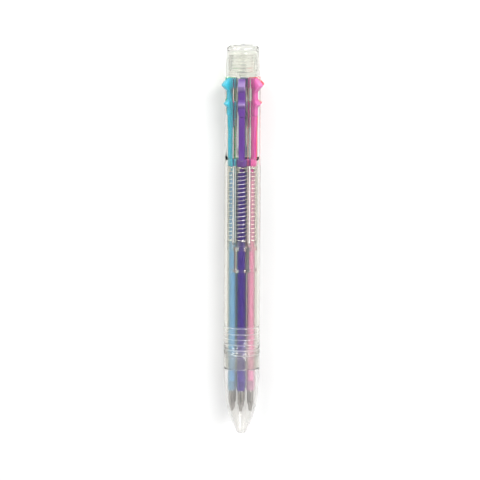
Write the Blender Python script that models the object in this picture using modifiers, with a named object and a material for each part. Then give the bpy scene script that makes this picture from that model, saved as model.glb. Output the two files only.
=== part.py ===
"""Six-colour click pen, as an assembly of separate pieces.

The pen lies on its back slider's bumps with its axis along Y: the writing end
points to -Y, the cap to +Y, and the purple slider is on top (+Z). Every piece is
drawn in the pen's own frame (local Z runs from the writing end to the cap, the
top of the pen is local -Y) under the empty "pen_axis", which turns that frame
into the world's. A station s is the distance from the writing end.
Units are metres; lengths below are given in millimetres times MM.
"""
import math

import bmesh
import bpy
from mathutils import Matrix, Vector

MM = 0.001

# ---------------------------------------------------------------- dimensions
LENGTH = 144.5 * MM           # writing end to the nub on the cap
BARREL_R = 6.64 * MM          # outer radius below the slots
BARREL_TOP_R = 6.50 * MM      # outer radius of the slotted part
BORE_R = 5.65 * MM            # bore of the barrel
JOINT_S = 24.5 * MM           # nose-to-barrel joint
BARREL_TOP_S = 132.3 * MM     # upper end of the barrel
SOCKET_R = 5.95 * MM          # counterbore that takes the nose's spigot
SOCKET_S = 31.3 * MM
GAP = 0.3 * MM                # gap left between faces that meet

SLOT_W = 3.0 * MM             # width of a slider's slot
SLOT_S = 102.1 * MM           # lower end of the slots, round
RIB_T = 0.6 * MM              # ribs on the bore between the springs
RIB_R = 4.45 * MM
RIB_S0 = 71.6 * MM
RIB_S1 = 131.9 * MM

NOSE_HOLE_R = 1.30 * MM
SPIGOT_R = 5.85 * MM
SPIGOT_BORE_R = 5.30 * MM
SPIGOT_S = 31.0 * MM

REFILL_R = 3.75 * MM          # circle that the six refills stand on
TUBE_R = 1.40 * MM
TUBE_BORE_R = 1.00 * MM
TUBE_S0 = 16.5 * MM
TUBE_S1 = 97.5 * MM
INK_R = 0.85 * MM
INK_S0 = 20.2 * MM
INK_S1 = 93.2 * MM
TIP_R = 1.125 * MM            # metal tip holder
TIP_S = 8.5 * MM              # writing point of a retracted refill
BALL_R = 0.35 * MM
PIVOT_S = 59.0 * MM           # where a refill starts to bend, under the guide

GUIDE_R = 5.55 * MM
GUIDE_FLANGE_R = 5.35 * MM
GUIDE_WAIST_R = 4.30 * MM     # the refills' holes cut the waist into a star
GUIDE_S0 = 60.7 * MM
GUIDE_S1 = 70.1 * MM
BOSS_R = 1.74 * MM
BOSS_S = 72.2 * MM
GUIDE_HOLE_R = 1.55 * MM

SPRING_R = 1.68 * MM          # to the middle of the wire
WIRE_R = 0.12 * MM
SPRING_S0 = 72.45 * MM
SPRING_S1 = 99.55 * MM
END_PITCH = 0.32 * MM         # closed coils at both ends
END_TURNS = 0.75
TURNS = 18.0                  # open turns
COIL_POINTS = 8               # points for each turn

COLLAR_R = 1.80 * MM          # foot of a slider, on its spring
COLLAR_S0 = 99.8 * MM
COLLAR_S1 = 102.4 * MM
PIN_R = 0.82 * MM
PIN_S = 94.0 * MM
STEM_W = 2.25 * MM
HEAD_W = 2.60 * MM

CORE_R = 1.20 * MM
FIN_T = 0.50 * MM
FIN_R = 4.20 * MM
CORE_S0 = 102.9 * MM
CORE_FLANGE_S = 132.7 * MM
NECK_R = 5.10 * MM
NECK_S = 140.5 * MM

CAP_S = 132.6 * MM
CAP_BASE_R = 6.24 * MM
CAP_TOP_R = 5.84 * MM
CAP_BORE_R = 5.45 * MM
CAP_ROOF_S = 142.7 * MM

HEIGHT = 8.2 * MM             # pen axis above the surface it lies on
SHELL_STEPS = 36

# the six ink colours, clockwise from the top seen from the writing end's side
COLOURS = [
    ("purple", 0, (0.16, 0.06, 0.34)),
    ("pink", 60, (0.73, 0.16, 0.42)),
    ("red", 120, (0.90, 0.10, 0.14)),
    ("blue", 180, (0.03, 0.08, 0.26)),
    ("green", 240, (0.06, 0.56, 0.31)),
    ("cyan", 300, (0.0, 0.47, 0.66)),
]

# ---------------------------------------------------------------- scene set-up
for ob in list(bpy.data.objects):
    bpy.data.objects.remove(ob, do_unlink=True)
for coll in list(bpy.data.collections):
    bpy.data.collections.remove(coll)

parts = bpy.data.collections.new("multicolor_click_pen")
cutters = bpy.data.collections.new("cutters")
bpy.context.scene.collection.children.link(parts)
bpy.context.scene.collection.children.link(cutters)

axis = bpy.data.objects.new("pen_axis", None)
axis.location = (0.0, -LENGTH / 2, HEIGHT)
axis.rotation_euler = (-math.pi / 2, 0.0, 0.0)
parts.objects.link(axis)


def material(name, colour, roughness, metallic=0.0, alpha=1.0):
    mat = bpy.data.materials.new(name)
    mat.use_nodes = True
    shader = mat.node_tree.nodes["Principled BSDF"]
    shader.inputs["Base Color"].default_value = (*colour, 1.0)
    shader.inputs["Roughness"].default_value = roughness
    shader.inputs["Metallic"].default_value = metallic
    shader.inputs["Alpha"].default_value = alpha
    return mat


clear = (0.86, 0.88, 0.82)
MATERIALS = {
    "barrel": material("clear_barrel", clear, 0.08, alpha=0.35),
    "nose": material("clear_nose", clear, 0.08, alpha=0.35),
    "cap": material("clear_cap", clear, 0.12, alpha=0.45),
    "guide": material("clear_guide", clear, 0.15, alpha=0.5),
    "core": material("clear_core", clear, 0.15, alpha=0.5),
    "spring": material("spring_steel", (0.70, 0.69, 0.66), 0.25, 1.0),
    "tip": material("nickel_tip", (0.62, 0.60, 0.56), 0.30, 1.0),
    "ball": material("carbide_ball", (0.45, 0.45, 0.46), 0.20, 1.0),
}
for colour_name, _, rgb in COLOURS:
    MATERIALS["slider_" + colour_name] = material("slider_" + colour_name, rgb, 0.3)
    pale = tuple(0.45 * c + 0.45 for c in rgb)
    MATERIALS["tube_" + colour_name] = material("tube_" + colour_name, pale, 0.3, alpha=0.6)
    MATERIALS["ink_" + colour_name] = material("ink_" + colour_name, rgb, 0.4)


# ---------------------------------------------------------------- makers
def add(name, mesh, mat=None, parent=axis, coll=parts, location=(0, 0, 0), turn=0.0):
    """A new object for a mesh. Cutters and other guides never render."""
    ob = bpy.data.objects.new(name, mesh)
    coll.objects.link(ob)
    ob.parent = parent
    ob.location = location
    ob.rotation_euler = (0.0, 0.0, turn)
    if mat is not None and not mesh.materials:
        mesh.materials.append(mat)
    if coll is cutters:
        ob.hide_render = True
        ob.display_type = "WIRE"
    return ob


def empty(name, parent, location=(0, 0, 0), turn=0.0):
    ob = bpy.data.objects.new(name, None)
    parts.objects.link(ob)
    ob.parent = parent
    ob.location = location
    ob.rotation_euler = (0.0, 0.0, turn)
    return ob


def profile_mesh(name, points, closed):
    """A turned piece's profile: points (radius, station), down the outside first."""
    mesh = bpy.data.meshes.new(name)
    edges = [(i, i + 1) for i in range(len(points) - 1)]
    if closed:
        edges.append((len(points) - 1, 0))
    mesh.from_pydata([(r, 0.0, s) for r, s in points], edges, [])
    return mesh


def screw(ob, steps):
    mod = ob.modifiers.new("turn", "SCREW")
    mod.angle = 2 * math.pi
    mod.steps = mod.render_steps = steps
    mod.use_merge_vertices = True
    mod.merge_threshold = 1e-6
    mod.use_smooth_shade = True
    return mod


def boolean(ob, cutter, operation):
    mod = ob.modifiers.new(cutter.name, "BOOLEAN")
    mod.operation = operation
    mod.object = cutter
    mod.solver = "EXACT"
    return mod


def evaluated_mesh(ob, name):
    """The mesh that an object's modifiers give, as a new mesh with its points welded."""
    bpy.context.view_layer.update()
    graph = bpy.context.evaluated_depsgraph_get()
    mesh = bpy.data.meshes.new_from_object(ob.evaluated_get(graph))
    mesh.name = name
    bm = bmesh.new()
    bm.from_mesh(mesh)
    bmesh.ops.remove_doubles(bm, verts=bm.verts, dist=1e-6)
    bm.to_mesh(mesh)
    bm.free()
    return mesh


def outline_mesh(name, points, thickness, matrix=Matrix()):
    """A flat outline, drawn as a filled 2D curve and extruded, as a mesh."""
    curve = bpy.data.curves.new(name, "CURVE")
    curve.dimensions = "2D"
    curve.fill_mode = "BOTH"
    curve.extrude = thickness / 2
    spline = curve.splines.new("POLY")
    spline.points.add(len(points) - 1)
    for point, (x, y) in zip(spline.points, points):
        point.co = (x, y, 0.0, 1.0)
    spline.use_cyclic_u = True
    ob = bpy.data.objects.new(name, curve)
    cutters.objects.link(ob)
    mesh = evaluated_mesh(ob, name)
    bpy.data.objects.remove(ob, do_unlink=True)
    mesh.transform(matrix)
    return mesh


def cylinder_mesh(name, radius, low, high, segments, matrix=Matrix()):
    mesh = bpy.data.meshes.new(name)
    bm = bmesh.new()
    bmesh.ops.create_cone(
        bm, cap_ends=True, segments=segments, radius1=radius, radius2=radius,
        depth=high - low,
        matrix=matrix @ Matrix.Translation((0, 0, (low + high) / 2)),
    )
    bm.to_mesh(mesh)
    bm.free()
    return mesh


def box_mesh(name, low, high, matrix=Matrix()):
    mesh = bpy.data.meshes.new(name)
    bm = bmesh.new()
    size = [b - a for a, b in zip(low, high)]
    centre = [(a + b) / 2 for a, b in zip(low, high)]
    bmesh.ops.create_cube(
        bm, size=1.0,
        matrix=matrix @ Matrix.Translation(centre) @ Matrix.Diagonal((*size, 1.0)),
    )
    bm.to_mesh(mesh)
    bm.free()
    return mesh


def merged(name, meshes):
    """Several meshes as one, whose shells stay apart."""
    bm = bmesh.new()
    for mesh in meshes:
        bm.from_mesh(mesh)
    result = bpy.data.meshes.new(name)
    bm.to_mesh(result)
    bm.free()
    return result


def smooth(mesh, degrees=35):
    mesh.shade_smooth()
    mesh.set_sharp_from_angle(angle=math.radians(degrees))


def around(n, first=0.0):
    """Turns about the pen's axis for n copies."""
    return [Matrix.Rotation(math.radians(first) + 2 * math.pi * i / n, 4, "Z") for i in range(n)]


# an outline's X is the distance outward from the pen's axis and its Y the station
OUTWARD = Matrix(((0, 0, -1, 0), (-1, 0, 0, 0), (0, 1, 0, 0), (0, 0, 0, 1)))

# ---------------------------------------------------------------- barrel
barrel = add("barrel", profile_mesh("barrel", [
    (BARREL_TOP_R - 0.15 * MM, BARREL_TOP_S),
    (BARREL_TOP_R, BARREL_TOP_S - 0.2 * MM),
    (BARREL_TOP_R, SLOT_S + 2.0 * MM),
    (BARREL_R, SLOT_S - 4.0 * MM),
    (BARREL_R, JOINT_S + GAP + 0.25 * MM),
    (BARREL_R - 0.2 * MM, JOINT_S + GAP),
    (SOCKET_R, JOINT_S + GAP),
    (SOCKET_R, SOCKET_S),
    (BORE_R, SOCKET_S + 0.4 * MM),
    (BORE_R, BARREL_TOP_S),
], True), MATERIALS["barrel"])
screw(barrel, SHELL_STEPS)

# the ribs' outer ends are sunk into the barrel's wall, which the union joins
ribs = add("rib_blanks", merged("rib_blanks", [
    box_mesh("rib", (-RIB_T / 2, -(BORE_R + 0.4 * MM), RIB_S0),
             (RIB_T / 2, -RIB_R, RIB_S1), m) for m in around(6, 30)
]), coll=cutters)
boolean(barrel, ribs, "UNION")

slot_outline = [(0.5 * SLOT_W, BARREL_TOP_S + 3.0 * MM), (-0.5 * SLOT_W, BARREL_TOP_S + 3.0 * MM)]
slot_outline += [
    (0.5 * SLOT_W * math.cos(a), SLOT_S + 0.5 * SLOT_W + 0.5 * SLOT_W * math.sin(a))
    for a in [math.pi + math.pi * i / 8 for i in range(9)]
]
# the slot's outline lies across the pen, so it is swept outward through the wall
across = Matrix(((1, 0, 0, 0), (0, 0, -1, -6.2 * MM), (0, 1, 0, 0), (0, 0, 0, 1)))
slots = add("slot_cutters", merged("slot_cutters", [
    outline_mesh("slot", slot_outline, 2.2 * MM, m @ across) for m in around(6)
]), coll=cutters)
boolean(barrel, slots, "DIFFERENCE")

# ---------------------------------------------------------------- nose cone
nose_outside = [
    (SPIGOT_R, JOINT_S),
    (6.45, 24.5), (6.65, 24.2), (6.60, 21.6), (6.20, 16.8), (5.76, 12.4), (5.10, 9.0),
    (4.50, 6.9), (3.90, 5.1), (3.05, 3.2), (2.25, 1.4), (1.90, 0.5), (1.62, 0.0),
]
nose_inside = [
    (1.30, 0.0), (1.30, 0.3), (1.62, 0.9), (1.85, 1.6), (2.45, 3.4), (3.20, 5.4),
    (3.90, 7.4), (4.55, 9.6), (5.05, 12.2), (SPIGOT_BORE_R / MM, 16.2),
]
nose_points = [(SPIGOT_R - 0.2 * MM, SPIGOT_S), (SPIGOT_R, SPIGOT_S - 0.3 * MM), (SPIGOT_R, JOINT_S)]
nose_points += [(r * MM, s * MM) for r, s in nose_outside[1:]]
nose_points += [(r * MM, s * MM) for r, s in nose_inside]
nose_points += [(SPIGOT_BORE_R, SPIGOT_S)]
nose = add("nose_cone", profile_mesh("nose_cone", nose_points, True), MATERIALS["nose"])
screw(nose, SHELL_STEPS)

# ---------------------------------------------------------------- end cap
cap_points = [
    (0.0, LENGTH), (0.75 * MM, LENGTH), (0.95 * MM, LENGTH - 0.22 * MM),
    (3.2 * MM, LENGTH - 0.30 * MM), (4.7 * MM, LENGTH - 0.50 * MM),
    (5.45 * MM, LENGTH - 0.95 * MM), (CAP_TOP_R, LENGTH - 1.9 * MM),
    (0.5 * (CAP_TOP_R + CAP_BASE_R), 139.0 * MM), (CAP_BASE_R, CAP_S + 0.3 * MM),
    (CAP_BASE_R - 0.1 * MM, CAP_S),
    (CAP_BORE_R, CAP_S), (CAP_BORE_R, 140.6 * MM), (CAP_BORE_R - 0.5 * MM, 142.2 * MM),
    (CAP_BORE_R - 1.4 * MM, CAP_ROOF_S), (0.0, CAP_ROOF_S),
]
cap = add("end_cap", profile_mesh("end_cap", cap_points, False), MATERIALS["cap"])
screw(cap, SHELL_STEPS)

# ---------------------------------------------------------------- guide insert
guide = add("guide_insert", profile_mesh("guide_insert", [
    (0.0, GUIDE_S1), (GUIDE_R, GUIDE_S1), (GUIDE_R, GUIDE_S1 - 1.4 * MM),
    (GUIDE_WAIST_R, GUIDE_S1 - 1.7 * MM), (GUIDE_WAIST_R, GUIDE_S0 + 1.2 * MM),
    (GUIDE_FLANGE_R, GUIDE_S0 + 0.9 * MM), (GUIDE_FLANGE_R, GUIDE_S0 + 0.15 * MM),
    (GUIDE_FLANGE_R - 0.15 * MM, GUIDE_S0), (0.0, GUIDE_S0),
], False), MATERIALS["guide"])
screw(guide, SHELL_STEPS)
at_refill = Matrix.Translation((0, -REFILL_R, 0))
bosses = add("boss_blanks", merged("boss_blanks", [
    cylinder_mesh("boss", BOSS_R, GUIDE_S1 - 1.1 * MM, BOSS_S, 20, m @ at_refill)
    for m in around(6)
]), coll=cutters)
boolean(guide, bosses, "UNION")
holes = add("guide_hole_cutters", merged("guide_hole_cutters", [
    cylinder_mesh("hole", GUIDE_HOLE_R, GUIDE_S0 - 1 * MM, BOSS_S + 1 * MM, 16, m @ at_refill)
    for m in around(6)
]), coll=cutters)
boolean(guide, holes, "DIFFERENCE")

# ---------------------------------------------------------------- release core
core = add("release_core", profile_mesh("release_core", [
    (0.0, NECK_S), (NECK_R - 0.3 * MM, NECK_S), (NECK_R, NECK_S - 0.3 * MM),
    (NECK_R, CORE_FLANGE_S), (CORE_R, CORE_FLANGE_S), (CORE_R, CORE_S0), (0.0, CORE_S0),
], False), MATERIALS["core"])
screw(core, 24)
fins = add("fin_blanks", evaluated_mesh(add("fin_tool", box_mesh(
    "fin", (-FIN_T / 2, -FIN_R, CORE_S0 + 0.6 * MM), (FIN_T / 2, -0.3 * MM, CORE_FLANGE_S + 0.8 * MM),
), coll=cutters), "fin_blank"), coll=cutters)
bpy.data.objects.remove(bpy.data.objects["fin_tool"], do_unlink=True)
fins.rotation_euler = (0, 0, math.radians(30))
boolean(core, fins, "UNION")
for number in range(1, 6):
    fin = add("fin_blanks_%d" % number, fins.data, coll=cutters, turn=math.radians(30 + 60 * number))
    boolean(core, fin, "UNION")
well = add("core_well_cutter", cylinder_mesh(
    "core_well", NECK_R - 0.9 * MM, CORE_FLANGE_S + 1.5 * MM, NECK_S + 1 * MM, 24), coll=cutters)
boolean(core, well, "DIFFERENCE")

# ---------------------------------------------------------------- slider
# outlines are (distance from the refill's own axis outward, station)
def out(points):
    return [((r - REFILL_R / MM) * MM, s * MM) for r, s in points]


stem_outline = out([
    (5.50, 101.0), (5.50, 114.0), (5.70, 114.2), (5.70, 131.5), (5.30, 131.9), (2.75, 131.9),
    (2.75, 128.6), (5.20, 128.2), (5.20, 123.6), (2.75, 123.0), (2.75, 114.0),
    (3.40, 114.7), (3.40, 117.4), (4.20, 117.0), (4.20, 101.0),
])
head_outline = out([
    (5.40, 118.0), (5.75, 118.0), (5.90, 118.2), (5.95, 118.6), (5.95, 121.15),
    (6.20, 121.4), (7.05, 122.2), (7.30, 122.6), (7.05, 123.0), (6.20, 123.85),
    (5.95, 124.1), (5.95, 127.1), (6.15, 127.3), (7.45, 128.5), (8.00, 129.05),
    (8.20, 129.45), (8.05, 129.85), (7.60, 130.3), (6.80, 131.0), (5.95, 131.8),
    (5.60, 131.95),
])
blank = add("slider_blank", outline_mesh("slider_blank", stem_outline, STEM_W, OUTWARD), coll=cutters)
for tool_name, tool_mesh in (
    ("head_blank", outline_mesh("head_blank", head_outline, HEAD_W, OUTWARD)),
    ("collar_blank", cylinder_mesh("collar_blank", COLLAR_R, COLLAR_S0, COLLAR_S1, 20)),
    ("pin_blank", cylinder_mesh("pin_blank", PIN_R, PIN_S, COLLAR_S0 + 0.8 * MM, 10)),
):
    boolean(blank, add(tool_name, tool_mesh, coll=cutters), "UNION")
slider_mesh = evaluated_mesh(blank, "slider")
smooth(slider_mesh)

# ---------------------------------------------------------------- refill pieces
def turned(name, points, closed, steps):
    tool = add(name + "_tool", profile_mesh(name, points, closed), coll=cutters)
    screw(tool, steps)
    mesh = evaluated_mesh(tool, name)
    bpy.data.objects.remove(tool, do_unlink=True)
    smooth(mesh)
    return mesh


tube_mesh = turned("tube", [
    (TUBE_R, TUBE_S1), (TUBE_R, TUBE_S0), (TUBE_BORE_R, TUBE_S0), (TUBE_BORE_R, TUBE_S1),
], True, 14)
ink_mesh = cylinder_mesh("ink", INK_R, INK_S0, INK_S1, 10)
smooth(ink_mesh)
tip_mesh = turned("tip", [(r * MM, s * MM - PIVOT_S) for r, s in [
    (0.88, 19.6), (0.88, 16.4), (1.125, 16.4), (1.125, 11.6), (0.80, 11.0),
    (0.60, 9.2), (0.52, 8.75), (0.43, 8.75), (0.43, 9.5), (0.30, 9.9), (0.30, 19.6),
]], True, 12)
ball_mesh = bpy.data.meshes.new("ball")
bm = bmesh.new()
bmesh.ops.create_uvsphere(bm, u_segments=8, v_segments=6, radius=BALL_R,
                          matrix=Matrix.Translation((0, 0, TIP_S + BALL_R - PIVOT_S)))
bm.to_mesh(ball_mesh)
bm.free()
smooth(ball_mesh, 60)


def spring_mesh():
    """A compression spring's wire along its centre line, with closed end coils."""
    open_pitch = (SPRING_S1 - SPRING_S0 - 2 * END_TURNS * END_PITCH) / TURNS
    total = TURNS + 2 * END_TURNS
    count = int(round(total * COIL_POINTS))
    curve = bpy.data.curves.new("spring_wire", "CURVE")
    curve.dimensions = "3D"
    curve.bevel_depth = WIRE_R
    curve.bevel_resolution = 0
    curve.use_fill_caps = True
    spline = curve.splines.new("POLY")
    spline.points.add(count)
    for i, point in enumerate(spline.points):
        turn = total * i / count
        rise = min(turn, END_TURNS) * END_PITCH
        rise += min(max(turn - END_TURNS, 0.0), TURNS) * open_pitch
        rise += max(turn - END_TURNS - TURNS, 0.0) * END_PITCH
        angle = 2 * math.pi * turn
        point.co = (SPRING_R * math.cos(angle), SPRING_R * math.sin(angle), SPRING_S0 + rise, 1.0)
    ob = bpy.data.objects.new("spring_wire", curve)
    cutters.objects.link(ob)
    mesh = evaluated_mesh(ob, "spring")
    bpy.data.objects.remove(ob, do_unlink=True)
    smooth(mesh, 80)
    return mesh


coil = spring_mesh()

for colour_name, degrees, _ in COLOURS:
    phi = math.radians(degrees)
    place = (REFILL_R * math.sin(phi), -REFILL_R * math.cos(phi), 0.0)
    line = empty("refill_line_" + colour_name, axis, place, phi)
    front = empty("refill_bend_" + colour_name, line, (0, 0, PIVOT_S))

    def copy(name, mesh, mat, parent):
        own = mesh.copy()
        own.materials.clear()
        own.materials.append(mat)
        return add(name, own, parent=parent)

    copy("slider_" + colour_name, slider_mesh, MATERIALS["slider_" + colour_name], line)
    copy("tube_" + colour_name, tube_mesh, MATERIALS["tube_" + colour_name], line)
    copy("ink_" + colour_name, ink_mesh, MATERIALS["ink_" + colour_name], line)
    copy("spring_" + colour_name, coil, MATERIALS["spring"], line)
    copy("tip_" + colour_name, tip_mesh, MATERIALS["tip"], front)
    copy("ball_" + colour_name, ball_mesh, MATERIALS["ball"], front)

bpy.context.view_layer.update()
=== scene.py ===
"""Looks of the multicolour click pen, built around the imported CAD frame.

Stations s run along the pen from the writing end (s = 0) to the cap, R is the
distance from the pen's axis and an angle phi turns from the top (+Z) towards +X.
Lengths are in millimetres in the tables and in metres in the meshes.
"""
import math

import bmesh
import bpy
import numpy as np
from mathutils import Matrix, Vector

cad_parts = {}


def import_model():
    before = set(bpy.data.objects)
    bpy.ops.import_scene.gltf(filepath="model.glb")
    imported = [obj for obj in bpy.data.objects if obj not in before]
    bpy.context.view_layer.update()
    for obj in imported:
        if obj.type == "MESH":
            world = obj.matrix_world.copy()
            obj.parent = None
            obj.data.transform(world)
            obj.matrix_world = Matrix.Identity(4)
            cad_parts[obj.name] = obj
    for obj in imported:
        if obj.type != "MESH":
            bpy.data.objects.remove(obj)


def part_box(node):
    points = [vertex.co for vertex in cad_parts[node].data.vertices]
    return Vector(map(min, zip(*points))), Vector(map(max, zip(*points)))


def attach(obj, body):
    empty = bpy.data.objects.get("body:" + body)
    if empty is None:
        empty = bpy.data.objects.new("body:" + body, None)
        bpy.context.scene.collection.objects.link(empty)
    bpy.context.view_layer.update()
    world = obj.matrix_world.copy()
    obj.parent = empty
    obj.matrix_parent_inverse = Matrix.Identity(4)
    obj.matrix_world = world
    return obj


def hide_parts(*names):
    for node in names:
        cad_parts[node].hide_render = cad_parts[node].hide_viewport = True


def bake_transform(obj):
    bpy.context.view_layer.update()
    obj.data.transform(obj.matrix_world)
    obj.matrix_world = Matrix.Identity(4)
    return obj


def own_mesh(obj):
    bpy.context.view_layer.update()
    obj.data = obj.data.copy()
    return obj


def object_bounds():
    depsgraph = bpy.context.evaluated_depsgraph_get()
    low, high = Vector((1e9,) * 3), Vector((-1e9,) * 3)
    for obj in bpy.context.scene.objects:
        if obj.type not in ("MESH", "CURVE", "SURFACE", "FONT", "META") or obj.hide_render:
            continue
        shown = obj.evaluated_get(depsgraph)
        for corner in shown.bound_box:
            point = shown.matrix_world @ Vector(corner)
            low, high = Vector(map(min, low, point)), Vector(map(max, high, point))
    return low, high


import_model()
cad_lo, cad_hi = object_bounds()

MM = 0.001
barrel_lo, barrel_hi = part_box("barrel")
nose_lo, nose_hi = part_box("nose_cone")
Y0 = nose_lo[1]                                  # the writing end
X0 = 0.5 * (barrel_lo[0] + barrel_hi[0])
ZC = 0.5 * (barrel_lo[2] + barrel_hi[2])         # height of the pen's axis
LENGTH = (cad_hi[1] - cad_lo[1]) / MM

REFILL_R = 3.75
PIVOT_S = 59.0
COLOURS = [("purple", 0), ("pink", 60), ("red", 120), ("blue", 180), ("green", 240), ("cyan", 300)]


# ------------------------------------------------------------------ geometry
def world(points):
    """Rows of (tangential x at the top, R upward, s) in mm to world metres, for the slider on top."""
    p = np.asarray(points, float)
    return np.column_stack([X0 + p[:, 0] * MM, Y0 + p[:, 2] * MM, ZC + p[:, 1] * MM])


def turned(points, phi):
    """World points turned about the pen's axis by phi, from the top towards +X."""
    p = np.asarray(points, float) - (X0, 0, ZC)
    c, s = math.cos(phi), math.sin(phi)
    return np.column_stack([X0 + p[:, 0] * c + p[:, 2] * s, p[:, 1], ZC - p[:, 0] * s + p[:, 2] * c])


def make(name, verts, faces, mat=None, sharp=35.0, weld=0.0):
    mesh = bpy.data.meshes.new(name)
    mesh.from_pydata([tuple(map(float, v)) for v in verts], [], [tuple(f) for f in faces])
    mesh.validate()
    bm = bmesh.new()
    bm.from_mesh(mesh)
    if weld:
        bmesh.ops.remove_doubles(bm, verts=bm.verts, dist=weld)
    bmesh.ops.recalc_face_normals(bm, faces=bm.faces)
    bm.to_mesh(mesh)
    bm.free()
    ob = bpy.data.objects.new(name, mesh)
    bpy.context.scene.collection.objects.link(ob)
    if mat is not None:
        mesh.materials.append(mat)
    smooth(mesh, sharp)
    return ob


def smooth(mesh, sharp):
    mesh.shade_smooth()
    if sharp is not None:
        mesh.set_sharp_from_angle(angle=math.radians(sharp))


def rings(rows, closed_rows, cyclic=True):
    """Faces between rows of equal length, as a grid."""
    faces = []
    n = len(rows)
    m = len(rows[0])
    last = n if closed_rows else n - 1
    for i in range(last):
        a, b = rows[i], rows[(i + 1) % n]
        for j in range(m if cyclic else m - 1):
            k = (j + 1) % m
            faces.append((a[j], a[k], b[k], b[j]))
    return faces


def lathe(name, profile, segments, mat=None, sharp=35.0, closed=True, radius=None, centre=0.0):
    """A turned piece. profile is (R, s) in mm; radius(R, s, phi) may change R; centre moves the axis up, in mm."""
    verts, rows = [], []
    angles = np.arange(segments) * 2 * math.pi / segments
    for r, s in profile:
        if r < 1e-6:
            rows.append([len(verts)] * segments)
            verts.append((0.0, centre, s))
            continue
        rows.append(list(range(len(verts), len(verts) + segments)))
        for a in angles:
            rr = radius(r, s, a) if radius else r
            verts.append((rr * math.sin(a), centre + rr * math.cos(a), s))
    faces = []
    for f in rings(rows, closed):
        g = [v for i, v in enumerate(f) if v not in f[:i]]
        if len(g) > 2:
            faces.append(g)
    return make(name, world(verts), faces, mat, sharp)


def curve_through(points, step=0.35):
    """A smooth curve through 2D points, by centripetal Catmull-Rom, about one point each step."""
    p = [np.array(q, float) for q in points]
    p = [2 * p[0] - p[1]] + p + [2 * p[-1] - p[-2]]
    out = []
    for i in range(1, len(p) - 2):
        p0, p1, p2, p3 = p[i - 1], p[i], p[i + 1], p[i + 2]
        t0 = 0.0
        t1 = t0 + max(np.linalg.norm(p1 - p0), 1e-6) ** 0.5
        t2 = t1 + max(np.linalg.norm(p2 - p1), 1e-6) ** 0.5
        t3 = t2 + max(np.linalg.norm(p3 - p2), 1e-6) ** 0.5
        n = max(1, int(round(np.linalg.norm(p2 - p1) / step)))
        for k in range(n):
            t = t1 + (t2 - t1) * k / n
            a1 = (t1 - t) / (t1 - t0) * p0 + (t - t0) / (t1 - t0) * p1
            a2 = (t2 - t) / (t2 - t1) * p1 + (t - t1) / (t2 - t1) * p2
            a3 = (t3 - t) / (t3 - t2) * p2 + (t - t2) / (t3 - t2) * p3
            b1 = (t2 - t) / (t2 - t0) * a1 + (t - t0) / (t2 - t0) * a2
            b2 = (t3 - t) / (t3 - t1) * a2 + (t - t1) / (t3 - t1) * a3
            out.append(tuple((t2 - t) / (t2 - t1) * b1 + (t - t1) / (t2 - t1) * b2))
    out.append(tuple(p[-2]))
    return out


def corner(centre, radius, a0, a1, n=5):
    """Points of an arc in (R, s), angles in degrees from +R towards +s."""
    return [
        (centre[0] + radius * math.cos(math.radians(a0 + (a1 - a0) * i / n)),
         centre[1] + radius * math.sin(math.radians(a0 + (a1 - a0) * i / n)))
        for i in range(n + 1)
    ]


def evaluated(ob, name):
    bpy.context.view_layer.update()
    graph = bpy.context.evaluated_depsgraph_get()
    mesh = bpy.data.meshes.new_from_object(ob.evaluated_get(graph))
    mesh.name = name
    return mesh


def boolean(ob, tool, operation, sharp=35.0):
    """Joins or cuts ob with tool, for good, and removes the tool."""
    mod = ob.modifiers.new("cut", "BOOLEAN")
    mod.operation = operation
    mod.solver = "EXACT"
    mod.object = tool
    mesh = evaluated(ob, ob.name)
    ob.modifiers.clear()
    old = ob.data
    ob.data = mesh
    bpy.data.meshes.remove(old)
    bpy.data.objects.remove(tool, do_unlink=True)
    bm = bmesh.new()
    bm.from_mesh(ob.data)
    bmesh.ops.dissolve_degenerate(bm, dist=1e-8, edges=bm.edges)
    bm.to_mesh(ob.data)
    bm.free()
    smooth(ob.data, sharp)
    return ob


def joined(name, obs):
    bm = bmesh.new()
    for ob in obs:
        bm.from_mesh(ob.data)
    mesh = bpy.data.meshes.new(name)
    bm.to_mesh(mesh)
    bm.free()
    for ob in obs:
        bpy.data.objects.remove(ob, do_unlink=True)
    ob = bpy.data.objects.new(name, mesh)
    bpy.context.scene.collection.objects.link(ob)
    return ob


def loft(name, sections, mat=None, sharp=35.0):
    """A closed body through cross-sections, each a row of world points, capped at both ends."""
    verts, rows = [], []
    for sec in sections:
        rows.append(list(range(len(verts), len(verts) + len(sec))))
        verts.extend(sec)
    faces = rings(rows, False)
    faces.append(tuple(rows[0]))
    faces.append(tuple(reversed(rows[-1])))
    return make(name, verts, faces, mat, sharp)


def rounded_rect(w, lo, hi, c, n=4):
    """A rounded rectangle in (x, R): half-width w, from R lo to R hi, corner radius c."""
    c = max(0.02, min(c, 0.98 * w, 0.49 * (hi - lo)))
    pts = []
    for cx, cy, a0 in ((w - c, hi - c, 0), (-(w - c), hi - c, 90), (-(w - c), lo + c, 180), (w - c, lo + c, 270)):
        for i in range(n + 1):
            a = math.radians(a0 + 90 * i / n)
            pts.append((cx + c * math.cos(a), cy + c * math.sin(a)))
    return pts


def copy_turned(ob, name, phi, mat=None):
    """A copy of a piece made at the top, turned to phi, with its own mesh."""
    mesh = ob.data.copy()
    mesh.name = name
    co = np.empty(len(mesh.vertices) * 3)
    mesh.vertices.foreach_get("co", co)
    co = turned(co.reshape(-1, 3), phi)
    mesh.vertices.foreach_set("co", co.ravel())
    mesh.update()
    if mat is not None:
        mesh.materials.clear()
        mesh.materials.append(mat)
    new = bpy.data.objects.new(name, mesh)
    bpy.context.scene.collection.objects.link(new)
    return new


# ------------------------------------------------------------------ materials
def lin(r, g, b):
    """sRGB 0-255 to linear."""
    out = []
    for v in (r, g, b):
        v = v / 255.0
        out.append(v / 12.92 if v <= 0.04045 else ((v + 0.055) / 1.055) ** 2.4)
    return (*out, 1.0)


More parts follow.
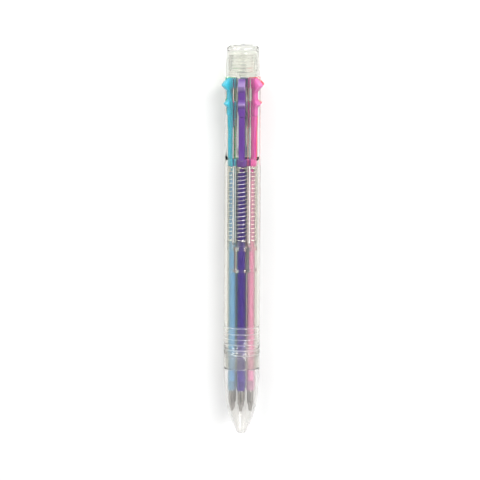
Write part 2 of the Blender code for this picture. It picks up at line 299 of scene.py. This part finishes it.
class Mat:
    def __init__(self, name):
        self.m = bpy.data.materials.new(name)
        self.m.use_nodes = True
        self.nt = self.m.node_tree
        self.p = self.nt.nodes["Principled BSDF"]
        self.out = self.nt.nodes["Material Output"]
        self.coord = self.nt.nodes.new("ShaderNodeTexCoord")

    def node(self, kind, **values):
        n = self.nt.nodes.new(kind)
        for k, v in values.items():
            if k in n.inputs:
                n.inputs[k].default_value = v
            else:
                setattr(n, k, v)
        return n

    def link(self, a, b):
        self.nt.links.new(a, b)

    def mapped(self, scale):
        """Object coordinates, stretched by scale along X, Y, Z."""
        m = self.node("ShaderNodeMapping")
        m.inputs["Scale"].default_value = scale
        self.link(self.coord.outputs["Object"], m.inputs["Vector"])
        return m.outputs["Vector"]

    def noise(self, scale, detail=3.0, rough=0.55, stretch=(1, 1, 1)):
        n = self.node("ShaderNodeTexNoise")
        n.inputs["Scale"].default_value = scale
        n.inputs["Detail"].default_value = detail
        n.inputs["Roughness"].default_value = rough
        self.link(self.mapped(stretch), n.inputs["Vector"])
        return n.outputs["Fac"]

    def ramp(self, fac, stops):
        r = self.node("ShaderNodeValToRGB")
        e = r.color_ramp.elements
        while len(e) > len(stops):
            e.remove(e[-1])
        while len(e) < len(stops):
            e.new(1.0)
        for el, (pos, col) in zip(e, stops):
            el.position = pos
            el.color = col if len(col) == 4 else (*col, 1.0)
        self.link(fac, r.inputs["Fac"])
        return r.outputs["Color"]

    def span(self, fac, lo, hi, f0=0.3, f1=0.7):
        """fac from f0..f1 to lo..hi."""
        r = self.node("ShaderNodeMapRange")
        r.inputs["From Min"].default_value = f0
        r.inputs["From Max"].default_value = f1
        r.inputs["To Min"].default_value = lo
        r.inputs["To Max"].default_value = hi
        self.link(fac, r.inputs["Value"])
        return r.outputs["Result"]

    def bump(self, fac, strength, distance, normal=None):
        b = self.node("ShaderNodeBump")
        b.inputs["Strength"].default_value = strength
        b.inputs["Distance"].default_value = distance
        self.link(fac, b.inputs["Height"])
        if normal is not None:
            self.link(normal, b.inputs["Normal"])
        return b.outputs["Normal"]


def shade(colour, f):
    return tuple(min(1.0, c * f) for c in colour[:3]) + (1.0,)


def clear_plastic(name, tint, haze=0.0, rough=(0.0, 0.02), shadow=(0.86, 0.855, 0.835), ior=1.49, flow=0.0):
    """Clear moulded plastic: bends light, is a little milky, and lets lamps through to what it holds."""
    k = Mat(name)
    long = k.noise(120.0, 2.0, 0.5, (1, 0.12, 1))
    fine = k.noise(2600.0, 2.0, 0.5)
    colour = k.ramp(long, [(0.3, shade(tint, 0.985)), (0.7, tint)])
    k.link(colour, k.p.inputs["Base Color"])
    k.link(k.span(fine, rough[0], rough[1]), k.p.inputs["Roughness"])
    k.p.inputs["Transmission Weight"].default_value = 1.0 - haze
    k.p.inputs["IOR"].default_value = ior
    if flow:
        k.link(k.bump(long, flow, 0.0002), k.p.inputs["Normal"])
    path = k.node("ShaderNodeLightPath")
    see = k.node("ShaderNodeBsdfTransparent")
    see.inputs["Color"].default_value = (*shadow, 1.0)
    mix = k.node("ShaderNodeMixShader")
    k.link(path.outputs["Is Shadow Ray"], mix.inputs[0])
    k.link(k.p.outputs[0], mix.inputs[1])
    k.link(see.outputs[0], mix.inputs[2])
    k.link(mix.outputs[0], k.out.inputs["Surface"])
    return k.m


def slider_plastic(name, deep, colour, painted_lit, rough=(0.2, 0.3), depth=0.0011, subsurface=0.55):
    """Coloured moulded plastic with a fine skin, its colour set by the distance from the pen's axis: painted shade
    low in the slot, painted light where the bumps stand proud.
    """
    k = Mat(name)
    off = k.node("ShaderNodeVectorMath", operation="MULTIPLY_ADD")
    k.link(k.coord.outputs["Object"], off.inputs[0])
    off.inputs[1].default_value = (1.0, 0.0, 1.0)
    off.inputs[2].default_value = (-X0, 0.0, -ZC)
    far = k.node("ShaderNodeVectorMath", operation="LENGTH")
    k.link(off.outputs["Vector"], far.inputs[0])
    cloud = k.noise(300.0, 3.0, 0.5, (1, 0.35, 1))
    skin = k.noise(5200.0, 2.0, 0.6)
    wobble = k.span(cloud, -0.00025, 0.00025)
    lift = k.node("ShaderNodeMath", operation="ADD")
    k.link(far.outputs["Value"], lift.inputs[0])
    k.link(wobble, lift.inputs[1])
    place = k.node("ShaderNodeMapRange")
    place.inputs["From Min"].default_value = 0.0045
    place.inputs["From Max"].default_value = 0.0078
    k.link(lift.outputs["Value"], place.inputs["Value"])
    # Painted shade and painted light: the deep colour low in the slot, the plain colour in between and the pale
    # colour on the proud bumps, by distance from the axis.
    k.link(k.ramp(place.outputs["Result"], [(0.0, deep), (0.4, colour), (0.52, colour), (0.85, painted_lit)]), k.p.inputs["Base Color"])
    k.link(k.span(skin, rough[0], rough[1]), k.p.inputs["Roughness"])
    k.p.inputs["IOR"].default_value = 1.5
    k.p.inputs["Subsurface Weight"].default_value = subsurface
    k.p.inputs["Subsurface Radius"].default_value = (1.0, 0.9, 0.9)
    k.p.inputs["Subsurface Scale"].default_value = depth
    k.link(k.bump(skin, 0.05, 0.00003), k.p.inputs["Normal"])
    return k.m


def tube_plastic(name, colour):
    """The pale, slightly cloudy extruded tube of a refill."""
    k = Mat(name)
    streak = k.noise(900.0, 2.0, 0.5, (1, 0.03, 1))
    k.link(k.ramp(streak, [(0.3, shade(colour, 0.95)), (0.7, colour)]), k.p.inputs["Base Color"])
    k.link(k.span(streak, 0.16, 0.26), k.p.inputs["Roughness"])
    k.p.inputs["Transmission Weight"].default_value = 0.8
    k.p.inputs["IOR"].default_value = 1.42
    path = k.node("ShaderNodeLightPath")
    see = k.node("ShaderNodeBsdfTransparent")
    see.inputs["Color"].default_value = (0.9, 0.9, 0.9, 1.0)
    mix = k.node("ShaderNodeMixShader")
    k.link(path.outputs["Is Shadow Ray"], mix.inputs[0])
    k.link(k.p.outputs[0], mix.inputs[1])
    k.link(see.outputs[0], mix.inputs[2])
    k.link(mix.outputs[0], k.out.inputs["Surface"])
    return k.m


def ink_liquid(name, colour):
    k = Mat(name)
    cloud = k.noise(420.0, 2.0, 0.5, (1, 0.2, 1))
    k.link(k.ramp(cloud, [(0.3, shade(colour, 0.9)), (0.7, shade(colour, 1.05))]), k.p.inputs["Base Color"])
    k.link(k.span(cloud, 0.3, 0.42), k.p.inputs["Roughness"])
    k.p.inputs["IOR"].default_value = 1.35
    return k.m


def metal(name, colour, rough, stretch, scale, bump=0.03):
    k = Mat(name)
    grain = k.noise(scale, 3.0, 0.6, stretch)
    k.link(k.ramp(grain, [(0.3, shade(colour, 0.9)), (0.7, colour)]), k.p.inputs["Base Color"])
    k.link(k.span(grain, rough[0], rough[1]), k.p.inputs["Roughness"])
    k.p.inputs["Metallic"].default_value = 1.0
    k.link(k.bump(grain, bump, 0.00002), k.p.inputs["Normal"])
    return k.m


# Each row: colour low in the slot, plain colour, colour on the proud bumps; the first is painted shade and the
# last painted light.
SLIDER_RGB = {            # deep, plain, pale
    "purple": (lin(84, 50, 122), lin(92, 58, 130), lin(134, 112, 160)),
    "pink": (lin(170, 44, 124), lin(190, 84, 148), lin(196, 104, 158)),
    "red": (lin(202, 40, 54), lin(214, 52, 66), lin(226, 76, 84)),
    "blue": (lin(26, 54, 108), lin(34, 66, 122), lin(72, 104, 156)),
    "green": (lin(40, 146, 84), lin(52, 164, 100), lin(96, 184, 130)),
    "cyan": (lin(0, 142, 164), lin(34, 156, 178), lin(60, 168, 186)),
}
TUBE_RGB = {
    "purple": lin(112, 86, 186), "pink": lin(232, 188, 212), "red": lin(222, 74, 92),
    "blue": lin(66, 96, 160), "green": lin(96, 180, 120), "cyan": lin(160, 204, 228),
}
INK_RGB = {
    "purple": lin(66, 30, 146), "pink": lin(206, 122, 162), "red": lin(190, 18, 44),
    "blue": lin(20, 40, 98), "green": lin(30, 122, 60), "cyan": lin(90, 168, 210),
}

clear_barrel = clear_plastic("clear_barrel", lin(236, 235, 228), haze=0.0)
clear_nose = clear_plastic("clear_nose", lin(239, 238, 236), haze=0.04, shadow=(0.9, 0.9, 0.895))
# A darker, greyer copy of the cap's clear plastic for its end face: painted shade.
cap_end_painted_shade = clear_plastic("cap_end_painted_shade", lin(216, 217, 208), haze=0.0, rough=(0.02, 0.05))
clear_cap = clear_plastic("clear_cap", lin(234, 235, 230), haze=0.05, rough=(0.01, 0.04))
clear_grip = clear_plastic("clear_grip", lin(236, 235, 229), haze=0.03)
# The grooves are cut in the shape; their paler, milky plastic is a painted highlight along them.
clear_groove = clear_plastic("clear_groove", lin(244, 244, 241), haze=0.16, rough=(0.25, 0.35))
clear_fin = clear_plastic("clear_fin", lin(253, 253, 252), haze=0.0, shadow=(0.96, 0.96, 0.96), ior=1.15)
frosted_rib = clear_plastic("frosted_rib", lin(250, 250, 248), haze=0.7, rough=(0.2, 0.3), shadow=(0.9, 0.9, 0.89))
clear_guide = clear_plastic("clear_guide", lin(253, 254, 252), haze=0.01)
clear_core = clear_plastic("clear_core", lin(250, 250, 248), haze=0.04, ior=1.42)
spring_steel = metal("spring_steel", lin(252, 252, 249), (0.05, 0.09), (1, 1, 1), 3000.0)
tip_metal = metal("tip_metal", lin(178, 174, 170), (0.16, 0.26), (1, 12, 1), 1400.0)
ball_metal = metal("ball_metal", lin(176, 176, 180), (0.12, 0.2), (1, 1, 1), 3500.0)

# ------------------------------------------------------------------ barrel
JOINT_S = 24.5
BARREL_R, TOP_R, BORE_R = 6.64, 6.50, 5.65
SLOT_W, SLOT_S = 3.0, 102.1
GROOVES = [29.9, 31.9, 33.8, 35.8, 37.8]


def barrel_outside(s):
    """Outer radius of the barrel at a station, with the grip's grooves and its shallow steps."""
    if s > 104.1:
        r = TOP_R
    elif s > 98.1:
        t = (s - 98.1) / 6.0
        r = BARREL_R + (TOP_R - BARREL_R) * t * t * (3 - 2 * t)
    else:
        r = BARREL_R
    for g in GROOVES:
        d = abs(s - g)
        if d < 0.34:
            r -= 0.11 * 0.5 * (1 + math.cos(math.pi * d / 0.34))
    for g, deep in ((40.1, 0.12), (28.8, 0.16)):
        d = abs(s - g)
        if d < 0.3:
            r -= deep * 0.5 * (1 + math.cos(math.pi * d / 0.3))
    return r


outer = corner((TOP_R - 0.18, 132.12), 0.18, 90, 0, 4)
stations = [131.8, 128, 124, 120, 116, 112, 108, 104.5]
stations += list(np.arange(104.1, 98.0, -0.75)) + [94, 90, 85, 80, 75, 70, 65, 60, 55, 50, 46, 43, 41, 40.6]
stations += list(np.arange(40.45, 28.2, -0.07)) + [28.0, 27.2, 26.2, 25.4]
outer += [(barrel_outside(s), s) for s in stations]
outer += corner((BARREL_R - 0.22, 25.02), 0.22, 0, -90, 5)
inner = [(5.95, 24.8), (5.95, 31.3), (BORE_R, 31.7)]
inner += [(BORE_R, s) for s in (40, 50, 60, 70, 80, 90, 100, 110, 120, 128, 132.3)]
barrel = lathe("barrel_shell", outer + inner, 160, clear_barrel, 40)

ribs = []
for i in range(6):
    phi = math.radians(30 + 60 * i)
    rows = []
    path = [(5.78, 70.9), (5.40, 71.05), (5.0, 71.25), (4.7, 71.55), (4.52, 72.0), (4.45, 72.6)]
    path += [(4.45, s) for s in (80, 90, 100, 110, 120, 128, 131.4)] + [(4.6, 131.9)]
    for r, s in path:
        rows.append(turned(world([(x, q, s) for x, q in rounded_rect(0.30, r, 5.95, 0.2, 3)]), phi))
    ribs.append(loft("rib", rows, None, 40))
barrel = boolean(barrel, joined("ribs", ribs), "UNION", 40)

slots = []
for i in range(6):
    phi = math.radians(60 * i)
    rows = []
    for r, w in ((5.0, 1.5), (5.6, 1.5), (6.34, 1.5), (6.40, 1.51), (6.45, 1.54), (6.49, 1.59), (6.60, 1.76), (7.6, 2.4)):
        arc = [(w * math.cos(a), SLOT_S + 1.5 + w * math.sin(a)) for a in [math.pi + math.pi * j / 20 for j in range(21)]]
        line = [(w, 135.0), (-w, 135.0)]
        rows.append(turned(world([(x, r, s) for x, s in arc + line]), phi))
    slots.append(loft("slot", rows, None, 40))
barrel = boolean(barrel, joined("slots", slots), "DIFFERENCE", 40)
barrel.data.materials.clear()
for mat in (clear_barrel, clear_grip, frosted_rib, clear_groove, clear_fin):
    barrel.data.materials.append(mat)
for poly in barrel.data.polygons:
    c = poly.center
    r = math.hypot(c.x - X0, c.z - ZC) / MM
    s = (c.y - Y0) / MM
    # Faces in the grip's grooves take the paler, milky plastic, a painted highlight.
    groove = r > 6.2 and any(abs(s - g) < 0.13 for g in GROOVES + [40.1]) or 5.6 < r < 6.0 and 31.1 < s < 31.9
    turn = (poly.normal.x * (c.x - X0) + poly.normal.z * (c.z - ZC)) / (r * MM)
    inner = s > 102.5 and (r < 5.6 or abs(turn) < 0.93)
    poly.material_index = 2 if (r < 4.66 and 70.5 < s < 103.0) else 4 if inner else 3 if groove else 1 if s < 41.0 else 0
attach(barrel, "pen_body")
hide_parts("barrel")

# ------------------------------------------------------------------ nose cone
nose_out = curve_through([
    (6.65, 24.0), (6.64, 22.8), (6.60, 21.6), (6.43, 19.2), (6.20, 16.8), (6.0, 14.6), (5.76, 12.4), (5.46, 10.7), (5.10, 9.0),
    (4.50, 6.9), (3.90, 5.1), (3.05, 3.2), (2.25, 1.4), (1.96, 0.75), (1.86, 0.45),
], 0.15)
nose_in = curve_through([
    (1.62, 0.9), (1.85, 1.6), (2.45, 3.4), (3.20, 5.4), (3.90, 7.4), (4.55, 9.6), (5.05, 12.2), (5.30, 16.2),
], 0.15)
profile = [(5.65, 31.0), (5.78, 30.92), (5.85, 30.7), (5.85, 24.5), (6.40, 24.5)]
profile += corner((6.42, 24.26), 0.23, 90, 10, 4)[1:] + nose_out
profile += [(1.78, 0.22), (1.66, 0.07), (1.54, 0.0), (1.36, 0.0), (1.31, 0.05), (1.30, 0.14), (1.30, 0.34), (1.36, 0.45)]
profile += nose_in + [(5.30, 31.0)]
nose = lathe("nose_shell", profile, 144, clear_nose, 40)
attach(nose, "pen_body")
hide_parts("nose_cone")

# ------------------------------------------------------------------ end cap
L = LENGTH
profile = [(0.0, L), (0.55, L)] + corner((0.72, L - 0.12), 0.12, 80, 0, 3) + [(0.90, L - 0.22), (1.05, L - 0.235)]
profile += curve_through([(1.4, L - 0.24), (3.2, L - 0.30), (4.4, L - 0.42), (5.0, L - 0.62), (5.45, L - 0.98),
                          (5.74, L - 1.45), (5.84, L - 2.1)], 0.2)
profile += [(5.90, 140.8), (6.02, 138.0), (6.12, 135.6), (6.22, 133.1)] + corner((6.10, 132.74), 0.14, 0, -90, 4)
profile += [(5.50, 132.6), (5.45, 132.65), (5.45, 136.0), (5.45, 140.3)]
profile += curve_through([(5.45, 140.7), (5.36, 141.4), (5.05, 142.1), (4.5, 142.55), (3.6, 142.68)], 0.25)
profile += [(2.4, 142.7), (1.2, 142.7), (0.0, 142.7)]
cap = lathe("cap_shell", profile, 144, clear_cap, 40, closed=False)
# The cap's end face takes the darker copy of its plastic, painted shade.
cap.data.materials.append(cap_end_painted_shade)
for poly in cap.data.polygons:
    poly.material_index = 1 if poly.normal.y > 0.8 and (poly.center.y - Y0) / MM > 144.1 else 0
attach(cap, "pen_body")
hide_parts("end_cap")

# ------------------------------------------------------------------ release core
THREAD_PITCH = 1.24


def threaded(r, s, phi):
    """The neck's outside with a shallow thread that fades in and out."""
    if r < 5.05:
        return r
    turn = (s - 134.3) / THREAD_PITCH - phi / (2 * math.pi)
    ridge = 0.5 * (1 + math.cos(2 * math.pi * (turn - round(turn))))
    fade = max(0.0, min(1.0, (s - 134.0) / 0.7)) * max(0.0, min(1.0, (139.9 - s) / 0.7))
    return r + 0.26 * fade * ridge ** 1.6


profile = [(0.0, 134.2), (3.4, 134.2), (4.1, 134.4), (4.2, 134.8), (4.2, 140.3), (4.32, 140.5), (4.8, 140.5)]
profile += [(5.05, 140.42), (5.1, 140.3)] + [(5.1, s) for s in np.arange(140.2, 133.6, -0.1)]
profile += [(5.1, 133.2), (5.1, 132.8), (5.04, 132.7), (0.0, 132.7)]
core = lathe("core_body", [(r, s) for r, s in profile], 144, clear_core, 35, closed=False, radius=threaded)
post = lathe("post", [(0.0, 133.4), (1.2, 133.4), (1.2, 103.3), (1.05, 102.9), (0.0, 102.9)], 40, None, 35, closed=False)
core = boolean(core, post, "UNION")
for i in range(6):
    phi = math.radians(30 + 60 * i)
    rows = []
    for s, r in ((103.3, 3.6), (103.45, 3.95), (103.8, 4.2), (112, 4.2), (122, 4.2), (133.3, 4.2)):
        rows.append(turned(world([(x, q, s) for x, q in rounded_rect(0.25, 0.4, r, 0.12, 3)]), phi))
    core = boolean(core, loft("fin", rows, None, 40), "UNION")
core.data.materials.clear()
core.data.materials.append(clear_core)
core.data.materials.append(clear_fin)
for poly in core.data.polygons:
    poly.material_index = 1 if (poly.center.y - Y0) / MM < 132.6 else 0
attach(core, "pen_body")
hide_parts("release_core")

# ------------------------------------------------------------------ guide insert
profile = [(0.0, 70.1), (5.40, 70.1)] + corner((5.40, 69.95), 0.15, 90, 0, 3)
profile += [(5.55, 68.9)] + corner((5.40, 68.85), 0.15, 0, -90, 3)
profile += [(4.5, 68.7), (4.34, 68.55), (4.30, 68.3), (4.30, 66), (4.30, 64), (4.30, 62.2), (4.36, 61.9), (4.55, 61.75), (5.2, 61.7)]
profile += corner((5.20, 61.55), 0.15, 90, 0, 3)[1:] + corner((5.15, 60.88), 0.18, 0, -90, 3) + [(0.0, 60.7)]
guide = lathe("guide_body", profile, 120, clear_guide, 35, closed=False)
bosses, holes = [], []
for i in range(6):
    phi = math.radians(60 * i)
    b = lathe("boss", [(0.0, 72.2), (1.62, 72.2), (1.70, 72.16), (1.74, 72.08), (1.74, 69.4), (0.0, 69.4)], 48, None, 35,
              closed=False, centre=REFILL_R)
    h = lathe("hole", [(0.0, 73.0), (1.55, 73.0), (1.55, 60.0), (0.0, 60.0)], 48, None, 35, closed=False, centre=REFILL_R)
    bosses.append(copy_turned(b, "boss_%d" % i, phi))
    holes.append(copy_turned(h, "hole_%d" % i, phi))
    bpy.data.objects.remove(b, do_unlink=True)
    bpy.data.objects.remove(h, do_unlink=True)
guide = boolean(guide, joined("bosses", bosses), "UNION")
guide = boolean(guide, joined("holes", holes), "DIFFERENCE")
guide.data.materials.clear()
guide.data.materials.append(clear_guide)
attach(guide, "pen_body")
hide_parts("guide_insert")

# ------------------------------------------------------------------ slider, made at the top
head_top = curve_through([
    (5.45, 117.93), (5.70, 118.0), (5.86, 118.15), (5.93, 118.4), (5.95, 118.9), (5.95, 120.3), (5.97, 120.95), (6.12, 121.3),
    (6.5, 121.72), (6.9, 122.12), (7.16, 122.4), (7.27, 122.66), (7.16, 122.92), (6.9, 123.2), (6.5, 123.6), (6.12, 124.02),
    (5.97, 124.4), (5.95, 125.0), (5.95, 126.3), (5.98, 126.85), (6.2, 127.25), (6.65, 127.72), (7.2, 128.28), (7.7, 128.8),
    (8.0, 129.12), (8.15, 129.45), (8.06, 129.8), (7.72, 130.2), (7.2, 130.68), (6.6, 131.24), (6.0, 131.78), (5.75, 131.95),
], 0.12)


def head_half_width(s):
    lower = 1.3
    if s < 117.9 + lower:
        return max(0.35, math.sqrt(max(0.0, lower ** 2 - (117.9 + lower - s) ** 2)))
    return lower


rows = []
for r, s in head_top:
    w = head_half_width(s)
    rows.append(world([(x, q, s) for x, q in rounded_rect(w, 4.8, r, min(0.36, 0.5 * w), 5)]))
slider = loft("slider", rows, None, 50)


def bar(name, path, width, corner_r, n=3, low=None):
    """A bar along the pen: path rows are (s, R low, R high), width its half-width."""
    rows = []
    for s, lo_r, hi_r in path:
        rows.append(world([(x, q, s) for x, q in rounded_rect(width, lo_r, hi_r, corner_r, n)]))
    return loft(name, rows, None, 40)


slider = boolean(slider, bar("stem", [
    (101.2, 4.2, 5.45), (110, 4.2, 5.45), (113.9, 4.2, 5.46), (114.2, 4.2, 5.52), (114.6, 4.2, 5.60), (115.0, 4.2, 5.62),
    (118, 4.2, 5.62), (124, 4.4, 5.62), (131.2, 4.4, 5.62), (131.9, 4.4, 5.4)], 1.125, 0.22), "UNION", 40)
slider = boolean(slider, bar("upper_fin", [
    (128.35, 4.3, 5.3), (128.45, 2.95, 5.3), (128.7, 2.75, 5.3), (131.5, 2.75, 5.3), (131.8, 2.9, 5.3), (131.88, 3.2, 5.3)],
    1.02, 0.12), "UNION", 40)
slider = boolean(slider, bar("lower_fin", [
    (117.2, 4.3, 5.3), (117.35, 2.9, 5.3), (117.6, 2.75, 5.3), (122.9, 2.75, 5.3), (123.2, 2.9, 5.3), (123.5, 4.6, 5.3)],
    1.02, 0.12), "UNION", 40)
slider = boolean(slider, bar("catch", [
    (113.95, 2.76, 2.90), (114.3, 2.75, 3.18), (114.8, 2.75, 3.42), (117.6, 2.75, 3.42)], 0.95, 0.08), "UNION", 40)
collar = lathe("collar", [
    (0.0, 102.4), (1.5, 102.4), (1.68, 102.33), (1.77, 102.2), (1.80, 102.0), (1.80, 100.1), (1.74, 99.9), (1.6, 99.8), (0.84, 99.8),
    (0.82, 99.6), (0.82, 95.3), (0.70, 95.0), (0.0, 95.0)], 48, None, 35, closed=False, centre=REFILL_R)
slider = boolean(slider, collar, "UNION", 40)

# ------------------------------------------------------------------ refill pieces, made at the top
tube = lathe("tube", [
    (1.41, 97.44), (1.41, 97.3)] + [(1.41, float(s)) for s in np.arange(94.0, 18.0, -2.0)] + [(1.41, 17.0), (1.40, 16.72), (1.38, 16.56), (1.28, 16.5),
    (1.02, 16.5), (0.98, 16.6)] + [(0.98, float(s)) for s in np.arange(18.0, 97.0, 2.0)] + [(0.98, 97.3), (1.02, 97.5), (1.38, 97.5)],
    40, None, 50, centre=REFILL_R)
ink = lathe("ink", [(0.0, 94.7), (0.6, 94.75), (0.86, 94.9)] + [(0.93, float(s)) for s in np.arange(94.0, 20.6, -2.0)] + [(0.93, 20.3), (0.86, 20.1), (0.0, 20.1)],
            32, None, 50, closed=False, centre=REFILL_R)
tip = lathe("tip", [
    (0.88, 19.6), (0.90, 19.5), (0.90, 16.42), (1.05, 16.40), (1.125, 16.3), (1.125, 15.9), (1.09, 15.82), (1.09, 15.7), (1.125, 15.62),
    (1.125, 12.2), (1.12, 11.9), (1.05, 11.62), (0.86, 11.2), (0.83, 11.05), (0.74, 10.4), (0.62, 9.6), (0.52, 9.0), (0.47, 8.82),
    (0.44, 8.76), (0.41, 8.76), (0.40, 8.82), (0.43, 9.4), (0.30, 9.8), (0.30, 12.0), (0.30, 19.6)],
    40, tip_metal, 40, centre=REFILL_R)
bm = bmesh.new()
bmesh.ops.create_uvsphere(bm, u_segments=28, v_segments=18, radius=0.35 * MM)
mesh = bpy.data.meshes.new("ball")
bm.to_mesh(mesh)
bm.free()
mesh.transform(Matrix.Translation(Vector(world([(0, REFILL_R, 8.85)])[0])))
ball = bpy.data.objects.new("ball", mesh)
bpy.context.scene.collection.objects.link(ball)
smooth(mesh, None)

# spring: closed end coils and 18 open ones, wire 0.26 mm
SPRING_LO, SPRING_HI = 72.36, 99.62
END_TURNS, OPEN_TURNS, END_PITCH, COIL_R, WIRE_R = 1.0, 18.0, 0.32, 1.66, 0.155
open_pitch = (SPRING_HI - SPRING_LO - 2 * END_TURNS * END_PITCH) / OPEN_TURNS
total = OPEN_TURNS + 2 * END_TURNS
per_turn, sides = 30, 9


def spring_rise(t):
    a = min(t, END_TURNS) * END_PITCH
    a += min(max(t - END_TURNS, 0.0), OPEN_TURNS) * open_pitch
    return a + max(t - END_TURNS - OPEN_TURNS, 0.0) * END_PITCH


count = int(total * per_turn)
path = []
for i in range(count + 1):
    t = total * i / count
    a = 2 * math.pi * t
    # soften the change of pitch at both ends
    rise = np.mean([spring_rise(min(total, max(0.0, t + d))) for d in np.linspace(-0.18, 0.18, 7)])
    path.append((COIL_R * math.sin(a), REFILL_R + COIL_R * math.cos(a), SPRING_LO + rise))
path = np.array(path)
tangent = np.gradient(path, axis=0)
tangent /= np.linalg.norm(tangent, axis=1)[:, None]
outward = path - np.column_stack([np.zeros(len(path)), np.full(len(path), REFILL_R), path[:, 2]])
outward /= np.linalg.norm(outward, axis=1)[:, None]
up = np.cross(tangent, outward)
sections = []
for c, o, u in zip(path, outward, up):
    sections.append(world([c + WIRE_R * (math.cos(b) * o + math.sin(b) * u) for b in np.arange(sides) * 2 * math.pi / sides]))
spring = loft("spring", sections, spring_steel, 80)

for name, degrees in COLOURS:
    phi = math.radians(degrees)
    refill, point = name + "_refill", name + "_point"
    body = copy_turned(slider, "slider_%s_head" % name, phi, slider_plastic("slider_plastic_" + name, *SLIDER_RGB[name]))
    smooth(body.data, 40)
    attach(body, refill)
    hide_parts("slider_" + name)

    for source, slot_name, mat in ((tube, "tube_" + name, tube_plastic("tube_plastic_" + name, TUBE_RGB[name])),
                                   (ink, "ink_" + name, ink_liquid("ink_liquid_" + name, INK_RGB[name]))):
        piece = copy_turned(source, slot_name + "_soft", phi, mat)
        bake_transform(piece)
        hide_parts(slot_name)
    piece = copy_turned(tip, "tip_%s_holder" % name, phi, tip_metal)
    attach(piece, point)
    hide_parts("tip_" + name)
    piece = copy_turned(ball, "ball_%s_round" % name, phi, ball_metal)
    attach(piece, point)
    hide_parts("ball_" + name)
    piece = copy_turned(spring, "spring_%s_coil" % name, phi, spring_steel)
    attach(piece, "pen_body")
    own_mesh(piece)
    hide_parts("spring_" + name)
for ob in (slider, tube, ink, tip, ball, spring):
    bpy.data.objects.remove(ob, do_unlink=True)

# ------------------------------------------------------------------ stage
k = Mat("paper_floor")
mottle = k.noise(9.0, 3.0, 0.5)
k.link(k.ramp(mottle, [(0.3, (0.472, 0.472, 0.472)), (0.7, (0.485, 0.485, 0.485))]), k.p.inputs["Base Color"])
k.p.inputs["Emission Color"].default_value = (1.0, 1.0, 1.0, 1.0)
k.p.inputs["Emission Strength"].default_value = 0.32
k.link(k.span(mottle, 0.75, 0.85), k.p.inputs["Roughness"])
k.p.inputs["Specular IOR Level"].default_value = 0.1
bm = bmesh.new()
bmesh.ops.create_grid(bm, x_segments=8, y_segments=8, size=2.5)
mesh = bpy.data.meshes.new("floor")
bm.to_mesh(mesh)
bm.free()
mesh.materials.append(k.m)
floor = bpy.data.objects.new("floor", mesh)
floor.location = (0, 0, -0.00005)
bpy.context.scene.collection.objects.link(floor)

sky = bpy.data.worlds.new("studio")
sky.use_nodes = True
nt = sky.node_tree
coord = nt.nodes.new("ShaderNodeTexCoord")
split = nt.nodes.new("ShaderNodeSeparateXYZ")
nt.links.new(coord.outputs["Generated"], split.inputs[0])
grade = nt.nodes.new("ShaderNodeValToRGB")     # white walls, a dim ceiling over the camera
el = grade.color_ramp.elements
el[0].position, el[0].color = 0.08, (0.66, 0.66, 0.66, 1.0)
el[1].position, el[1].color = 0.93, (0.2, 0.2, 0.2, 1.0)
for place in (0.32, 0.80):
    grade.color_ramp.elements.new(place).color = (1.15, 1.15, 1.15, 1.0)
nt.links.new(split.outputs["Z"], grade.inputs["Fac"])
nt.links.new(grade.outputs["Color"], nt.nodes["Background"].inputs["Color"])
nt.nodes["Background"].inputs["Strength"].default_value = 1.0
bpy.context.scene.world = sky


def softbox(name, angle, tilt, distance, width, length, radiance):
    """A strip light over the pen, angle degrees from overhead towards +X, tilt towards the cap, facing the pen."""
    data = bpy.data.lights.new(name, "AREA")
    data.shape = "RECTANGLE"
    data.size, data.size_y = width, length
    data.energy = radiance * math.pi * width * length
    ob = bpy.data.objects.new(name, data)
    a, t = math.radians(angle), math.radians(tilt)
    back = Vector((math.sin(a) * math.cos(t), math.sin(t), math.cos(a) * math.cos(t)))
    side = Vector((math.cos(a), 0.0, -math.sin(a)))
    ob.matrix_world = Matrix((side, back.cross(side), back)).transposed().to_4x4()
    ob.location = Vector((X0, 0.0, ZC)) + back * distance
    bpy.context.scene.collection.objects.link(ob)
    return ob


softbox("key_softbox", 29, 30, 0.85, 0.36, 0.30, 17.0)
softbox("fill_softbox", -34, 34, 0.85, 0.20, 0.20, 11.0)
softbox("right_strip", 64, 34, 0.85, 0.22, 0.20, 10.0)
softbox("left_strip", -66, 34, 0.85, 0.22, 0.20, 10.0)

# ------------------------------------------------------------------ camera
# the camera looks down at the pen, a little from the cap's side, with the cap up in the picture
TILT = math.radians(8.5)
ROLL = math.radians(4.0)     # the camera stands a little to the side of the purple slider
centre = Vector((X0, 0.0, ZC))
back = Vector((math.sin(ROLL) * math.cos(TILT), math.sin(TILT), math.cos(ROLL) * math.cos(TILT))).normalized()
up = Vector((0, 1, 0))
up = (up - back * up.dot(back)).normalized()
right = up.cross(back).normalized()
lean = math.radians(-0.25)
up2 = up * math.cos(lean) + right * math.sin(lean)
right2 = up2.cross(back).normalized()
cam_data = bpy.data.cameras.new("camera")
cam_data.sensor_width = 36.0
cam_data.lens = 220.0
cam_data.clip_start, cam_data.clip_end = 0.05, 20.0
cam = bpy.data.objects.new("camera", cam_data)
bpy.context.scene.collection.objects.link(cam)
matrix = Matrix((right2, up2, back)).transposed().to_4x4()
DISTANCE = 1.0785
aim = centre + right2 * (-0.0008) + up2 * (-0.00013)
matrix.translation = aim + back * DISTANCE
cam.matrix_world = matrix
bpy.context.scene.camera = cam

scene = bpy.context.scene
scene.view_settings.view_transform = "Standard"
scene.view_settings.look = "None"
scene.cycles.max_bounces = 24
scene.cycles.transmission_bounces = 24
scene.cycles.glossy_bounces = 8
scene.cycles.diffuse_bounces = 5
scene.cycles.transparent_max_bounces = 32
scene.cycles.caustics_reflective = False
scene.cycles.caustics_refractive = True
